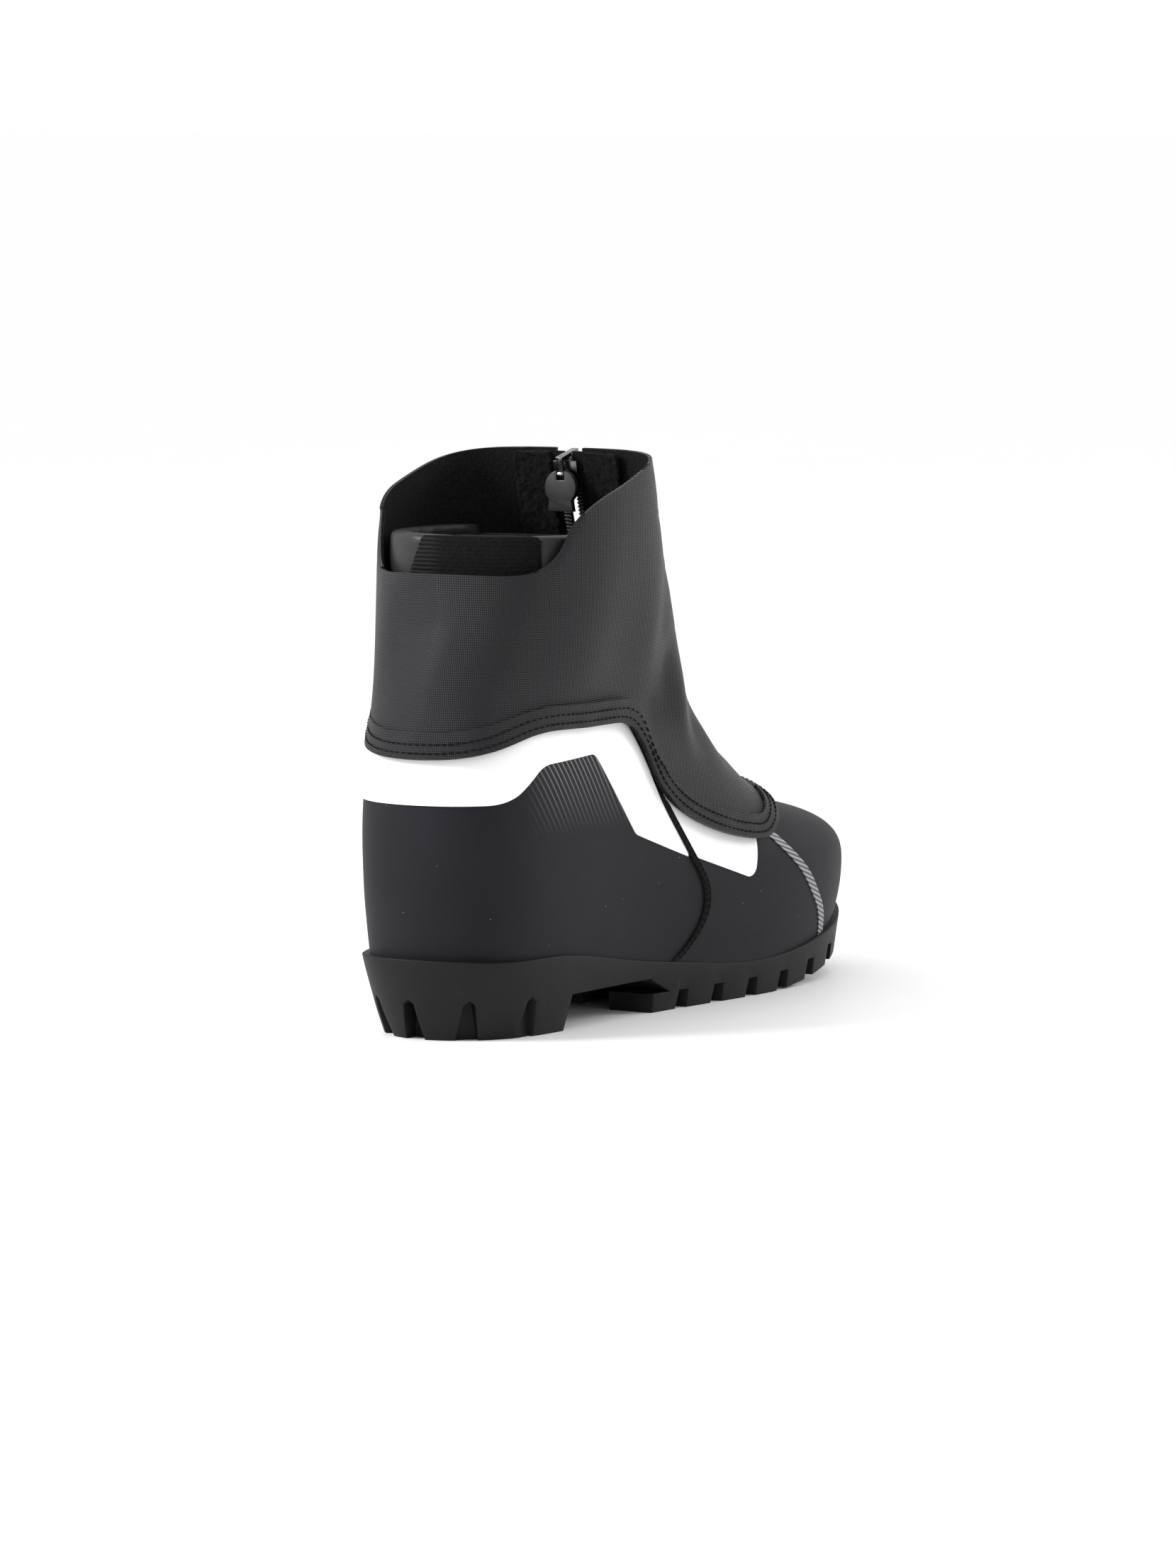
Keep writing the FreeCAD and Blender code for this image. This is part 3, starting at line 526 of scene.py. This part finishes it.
def makeCover():
    piece = copyOf("lace_cover", "gaiter_cover")
    outerSkin(piece)
    even(piece, coverSize["edge"], 4, 8)
    loops = edgeLoops(piece)
    hemEdge = min(loops[:3], key=lambda l: min(p.z for p in l))
    rimEdge = [p for l in loops for p in l if p.z > 0.145]
    slotEdge = [p for l in loops for p in l if abs(p.y) < 0.0052 and p.x > -0.04 and p.z > 0.088]
    edges = rimEdge + slotEdge
    normals = [v.normal.copy() for v in piece.data.vertices]
    tops = KDTree(len(edges))
    for i, p in enumerate(edges):
        tops.insert(p, i)
    tops.balance()
    lows = KDTree(len(hemEdge))
    for i, p in enumerate(hemEdge):
        lows.insert(p, i)
    lows.balance()
    for vertex, normal in zip(piece.data.vertices, normals):
        low = lows.find(vertex.co)[2]
        high = tops.find(vertex.co)[2]
        vertex.co += normal * foldDepth(vertex.co, low, high)
    finishWith(piece, "SOLIDIFY", thickness=coverSize["wall"], offset=-1.0, material_offset=1)
    smoothShade(piece, 50)
    paint(piece, twill, "cover_fabric", "root", "lace_cover")
    piece.data.materials.append(coverBack)
    for face in piece.data.polygons:
        inward = face.normal.dot(fromSpine(face.center).normalized()) < -0.2
        face.material_index = 1 if inward else 0
    piece.data.validate()
    return piece


def makeHem():
    piece = copyOf("cover_hem", "gaiter_hem")
    outerSkin(piece, 0.5)
    even(piece, 1.6 * mm, 4, 3)
    surface = treeOf(piece)
    loops = edgeLoops(piece)
    low = min(loops[:2], key=lambda l: sum(p.z for p in l) / len(l))
    low.append(low[0].copy())
    spots = []
    for inset in (2.0, 4.9):
        spots += rowAlong(low, surface, inset * mm, 2.5 * mm, 0.12 * mm)
    stitchRow("hem_stitches", spots, {"length": 2.3 * mm, "thick": 0.62 * mm}, thread, "cover_fabric")
    for vertex in piece.data.vertices:
        puff = noise.noise(vertex.co * 130) * 0.25 * mm
        vertex.co += vertex.normal * puff
    finishWith(piece, "SOLIDIFY", thickness=coverSize["hemWall"], offset=-1.0)
    finishWith(piece, "BEVEL", width=0.35 * mm, segments=2, limit_method="ANGLE",
               angle_limit=math.radians(60))
    piece.data.validate()
    smoothShade(piece, 50)
    paint(piece, twill, "cover_fabric", "root", "cover_hem")
    return piece


cover = makeCover()
hem = makeHem()
print("cover and hem made", len(cover.data.polygons), len(hem.data.polygons))


def padFrom(node, name, voxel, passes, puff, material, slot):
    piece = copyOf(node, name)
    finishWith(piece, "REMESH", mode="VOXEL", voxel_size=voxel)
    finishWith(piece, "SMOOTH", factor=0.5, iterations=passes)
    finishWith(piece, "DISPLACE", strength=puff, mid_level=0.0)
    finishWith(piece, "SUBSURF", levels=1, render_levels=1)
    smoothShade(piece)
    paint(piece, material, slot, "root", node)
    return piece


padFrom("collar_pad_lateral", "collar_leather_lateral", 1.1 * mm, 9, 0.25 * mm, leather, "collar_leather")
padFrom("collar_pad_medial", "collar_leather_medial", 1.1 * mm, 9, 0.25 * mm, leather, "collar_leather")
padFrom("collar_back_panel", "collar_knit", 0.9 * mm, 7, 0.45 * mm, knit, "knit")
padFrom("tongue", "padded_tongue", 1.3 * mm, 6, 0.2 * mm, darkFleece, "tongue_fabric")
print("collar and tongue made")


def makeSeamStitches():
    seam = {"pitch": 2.3 * mm, "apart": 0.75 * mm, "length": 2.0 * mm, "thick": 0.55 * mm}
    strip = copyOf("quarter_seam", "seamGuide")
    surface = treeOf(strip)
    low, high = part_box("quarter_seam")
    places = []
    for side in (-1, 1):
        line, z = [], low[2] + 1.5 * mm
        while z < high[2] - 1 * mm:
            hits, x = [], low[0]
            while x < high[0]:
                hit, normal = surface.ray_cast(Vector((x, side * 0.08, z)), Vector((0, -side, 0)))[:2]
                if hit and hit.y * side > 0:
                    hits.append(hit)
                x += 0.2 * mm
            if hits:
                line.append(hits[len(hits) // 2])
            z += 1.2 * mm
        for row in (-1, 1):
            spots = evenly(line, seam["pitch"])
            for i, spot in enumerate(spots[:-1]):
                along = (spots[i + 1] - spot).normalized()
                near, normal, index, far = surface.find_nearest(spot)
                across = along.cross(normal).normalized() * row
                near, normal, index, far = surface.find_nearest(spot + across * seam["apart"])
                places.append((near + normal * (0.1 * mm), along, normal))
    bpy.data.objects.remove(strip)
    stitchRow("seam_stitches", places, seam, thread, "seam_tape")


makeSeamStitches()
print("seam stitched")


def softenEdges(node, name, width, material, slot, body, segments=2):
    piece = copyOf(node, name)
    bpy.ops.object.mode_set(mode="EDIT")
    bpy.ops.mesh.select_all(action="SELECT")
    bpy.ops.mesh.dissolve_limited(angle_limit=math.radians(0.6))
    bpy.ops.object.mode_set(mode="OBJECT")
    finishWith(piece, "BEVEL", width=width, segments=segments, limit_method="ANGLE",
               angle_limit=math.radians(38), use_clamp_overlap=True)
    smoothShade(piece, 40)
    paint(piece, material, slot, body, node)
    return piece


softenEdges("outsole", "lugged_outsole", 0.55 * mm, rubber, "sole_rubber", "root")
softenEdges("toe_insert", "toe_block", 0.5 * mm, hardPlastic, "sole_plastic", "root")
softenEdges("zip_slider", "slider_body", 0.2 * mm, blackChrome, "slider_metal", "zip_slider")
softenEdges("zip_pull_link", "pull_link", 0.25 * mm, blackChrome, "slider_metal", "zip_pull_link", 3)
print("hard pieces softened")


def makeTab():
    tab = {"top": 1.6, "round": 6.0, "neck": 4.3, "neckAt": -8.4, "foot": 4.9, "footAt": -12.3,
           "thick": 2.3, "slot": 3.0, "slotDown": 1.8}
    knuckle = Vector(next(j for j in frame["joints"] if j["name"] == "tab_swing")["pos_m"])
    crown = tab["top"] - tab["round"]
    right = []
    for i in range(15):
        turn = math.radians(90 - i * 8.6)
        right.append((tab["round"] * math.cos(turn), crown + tab["round"] * math.sin(turn)))
    right += [(tab["neck"], tab["neckAt"]), (tab["neck"] + 0.15, tab["neckAt"] - 1.4),
              (tab["foot"], tab["footAt"])]
    outline = right + [(-y, z) for y, z in reversed(right) if y > 0.01]
    points = [Vector((knuckle.x - tab["thick"] / 2 * mm, y * mm, knuckle.z + z * mm)) for y, z in outline]
    data = bpy.data.meshes.new("rubber_tab")
    data.from_pydata(points, [], [tuple(range(len(points)))])
    piece = bpy.data.objects.new("rubber_tab", data)
    bpy.context.scene.collection.objects.link(piece)
    only(piece)
    bpy.ops.object.mode_set(mode="EDIT")
    bpy.ops.mesh.select_all(action="SELECT")
    bpy.ops.mesh.extrude_region_move(TRANSFORM_OT_translate={"value": (tab["thick"] * mm, 0, 0)})
    bpy.ops.mesh.select_all(action="SELECT")
    bpy.ops.mesh.normals_make_consistent(inside=False)
    bpy.ops.object.mode_set(mode="OBJECT")
    bpy.ops.object.select_all(action="DESELECT")
    middle = knuckle + Vector((0, 0, (tab["top"] + 1 - tab["slotDown"]) / 2 * mm))
    bpy.ops.mesh.primitive_cube_add(size=1.0, location=middle)
    cutter = bpy.context.active_object
    cutter.dimensions = (6 * mm, tab["slot"] * mm, (tab["top"] + 1 + tab["slotDown"]) * mm)
    bpy.context.view_layer.update()
    finishWith(piece, "BOOLEAN", operation="DIFFERENCE", object=cutter, solver="EXACT")
    bpy.data.objects.remove(cutter)
    finishWith(piece, "BEVEL", width=0.5 * mm, segments=3, limit_method="ANGLE", angle_limit=math.radians(50))
    smoothShade(piece, 40)
    paint(piece, tabRubber, "pull_rubber", "zip_pull_tab", "zip_pull_tab")
    return piece


makeTab()


def makeFacing(side):
    piece = copyOf("zip_facing_" + side, "fleece_facing_" + side)
    finishWith(piece, "REMESH", mode="VOXEL", voxel_size=0.6 * mm)
    middle = sum((v.co for v in piece.data.vertices), Vector()) / len(piece.data.vertices)
    for vertex in piece.data.vertices:
        tuft = noise.noise(vertex.co * 900) * 0.45 + noise.noise(vertex.co * 350) * 0.35
        outward = 1 if vertex.co.y > middle.y else -1
        edge = noise.noise(Vector((0, 0, vertex.co.z * 420))) * 0.8 * mm * outward
        vertex.co += vertex.normal * tuft * mm
        vertex.co.y += edge * min(1.0, abs(vertex.co.y - middle.y) / (6 * mm)) ** 3
    smoothShade(piece)
    paint(piece, zipFleece, "lining_fleece", "root", "zip_facing_" + side)


makeFacing("lateral")
makeFacing("medial")


def makeCoil(side, sign):
    coilSize = {"pitch": 1.3 * mm, "wide": 2.5 * mm, "tall": 1.5 * mm, "wire": 0.3 * mm, "steps": 12,
                "facets": 5, "lean": 0.25 * mm, "stagger": 0.325}
    node = "zip_teeth_" + side
    surface = treeOf(frame["nodes"][node])
    low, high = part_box(node)
    points, polygons = [], []
    facets = coilSize["facets"]
    y = (low[1] + high[1]) / 2
    z = low[2] + (1 + coilSize["stagger"] * sign) * mm
    line = []
    while z < high[2] - 0.8 * mm:
        inner = surface.ray_cast(Vector((low[0] - 0.02, y, z)), Vector((1, 0, 0)))[0]
        outer = surface.ray_cast(Vector((high[0] + 0.02, y, z)), Vector((-1, 0, 0)))[0]
        if inner and outer:
            line.append((inner + outer) / 2)
        z += 0.5 * mm
    for spot, after in zip(evenly(line, coilSize["pitch"]), evenly(line, coilSize["pitch"])[1:]):
        along = (after - spot).normalized()
        out = along.cross(Vector((0, 1, 0))).normalized()
        base = len(points)
        for i in range(coilSize["steps"]):
            turn = 2 * math.pi * i / coilSize["steps"]
            middle = (spot + Vector((0, 1, 0)) * (math.cos(turn) * (coilSize["wide"] / 2 - coilSize["wire"]))
                      + out * (math.sin(turn) * (coilSize["tall"] / 2 - coilSize["wire"]))
                      + along * (coilSize["lean"] * math.cos(turn)))
            ray = Vector((0, 1, 0)) * math.cos(turn) + out * math.sin(turn)
            for k in range(facets):
                lift = 2 * math.pi * k / facets
                points.append(middle + (ray * math.cos(lift) + along * math.sin(lift)) * coilSize["wire"])
        for i in range(coilSize["steps"]):
            j = (i + 1) % coilSize["steps"]
            for k in range(facets):
                m = (k + 1) % facets
                ring, nextRing = base + i * facets, base + j * facets
                polygons.append((ring + k, ring + m, nextRing + m, nextRing + k))
    data = bpy.data.meshes.new("zip_coil_" + side)
    data.from_pydata(points, [], polygons)
    piece = bpy.data.objects.new("zip_coil_" + side, data)
    bpy.context.scene.collection.objects.link(piece)
    only(piece)
    bpy.ops.object.mode_set(mode="EDIT")
    bpy.ops.mesh.select_all(action="SELECT")
    bpy.ops.mesh.normals_make_consistent(inside=False)
    bpy.ops.object.mode_set(mode="OBJECT")
    smoothShade(piece)
    paint(piece, coil, "zip_plastic", "root", node)


makeCoil("lateral", -1)
makeCoil("medial", 1)
print("zip made")

finishes = {
    "outsole": rubber, "toe_insert": hardPlastic, "binding_bar": steel, "shank": hardPlastic, "vamp": shell,
    "rear_quarter": shellStriped, "heel_counter": boardFibre, "toe_puff": boardFibre,
    "insole_board": boardFibre, "lining": darkFleece, "footbed": footFelt, "eyestay_lateral": shell,
    "eyestay_medial": shell, "lace_loops": seamTape, "quarter_band": whitePrint, "vamp_panel": whitePrint,
    "toe_stripe": greyTicks, "quarter_seam": seamTape, "zip_tape_lateral": zipTape,
    "zip_tape_medial": zipTape, "zip_teeth_lateral": coil, "zip_teeth_medial": coil,
    "zip_facing_lateral": zipFleece, "zip_facing_medial": zipFleece, "zip_bottom_stop": coil,
    "zip_slider": blackChrome, "zip_pull_link": blackChrome, "zip_pull_tab": tabRubber,
}
for node, material in finishes.items():
    data = frame["nodes"][node].data
    data.materials.clear()
    data.materials.append(material)

studio = {"turn": -60.0, "rise": 5.7, "away": 2.4, "aim": Vector((-12.7, 0.8, 74.0)) * mm, "lens": 162.9}


def makeStage():
    bpy.ops.object.select_all(action="DESELECT")
    bpy.ops.mesh.primitive_plane_add(size=60.0, location=(0, 0, 0))
    floor = bpy.context.active_object
    floor.name = "floor"
    finish = Finish("floorPaper", Roughness=0.55)
    place, x, y, z = finish.place()
    tint = finish.noise(place, 3.0)
    finish.feed("Base Color", finish.mix(tint, grey(0.985, 1.0), grey(1.0, 1.0)))
    floor.data.materials.append(finish.material)
    world = bpy.data.worlds.new("studio") if not bpy.context.scene.world else bpy.context.scene.world
    bpy.context.scene.world = world
    world.use_nodes = True
    world.node_tree.nodes["Background"].inputs[0].default_value = (1, 1, 1, 1)
    world.node_tree.nodes["Background"].inputs[1].default_value = 1.0
    bpy.context.scene.view_settings.view_transform = "Standard"
    lights = (  # name, place, size, power
        ("keyLight", (-0.75, 0.7, 0.75), 0.4, 13.0),
        ("sideLight", (0.9, -1.0, 0.7), 0.45, 7.0),
    )
    for name, spot, size, power in lights:
        lamp = bpy.data.lights.new(name, "AREA")
        lamp.size = size
        lamp.energy = power
        holder = bpy.data.objects.new(name, lamp)
        holder.location = spot
        holder.rotation_euler = (Vector((0, 0, 0.09)) - Vector(spot)).to_track_quat("-Z", "Y").to_euler()
        bpy.context.scene.collection.objects.link(holder)


def makeCamera():
    turn, rise = math.radians(studio["turn"]), math.radians(studio["rise"])
    back = Vector((math.sin(turn) * math.cos(rise), -math.cos(turn) * math.cos(rise), math.sin(rise)))
    lens = bpy.data.cameras.new("camera")
    lens.sensor_fit = "VERTICAL"
    lens.sensor_height = 36.0
    lens.lens = studio["lens"]
    lens.clip_end = 100.0
    camera = bpy.data.objects.new("camera", lens)
    camera.location = studio["aim"] + back * studio["away"]
    camera.rotation_euler = (-back).to_track_quat("-Z", "Y").to_euler()
    bpy.context.scene.collection.objects.link(camera)
    bpy.context.scene.camera = camera


makeStage()
makeCamera()
print("stage set")
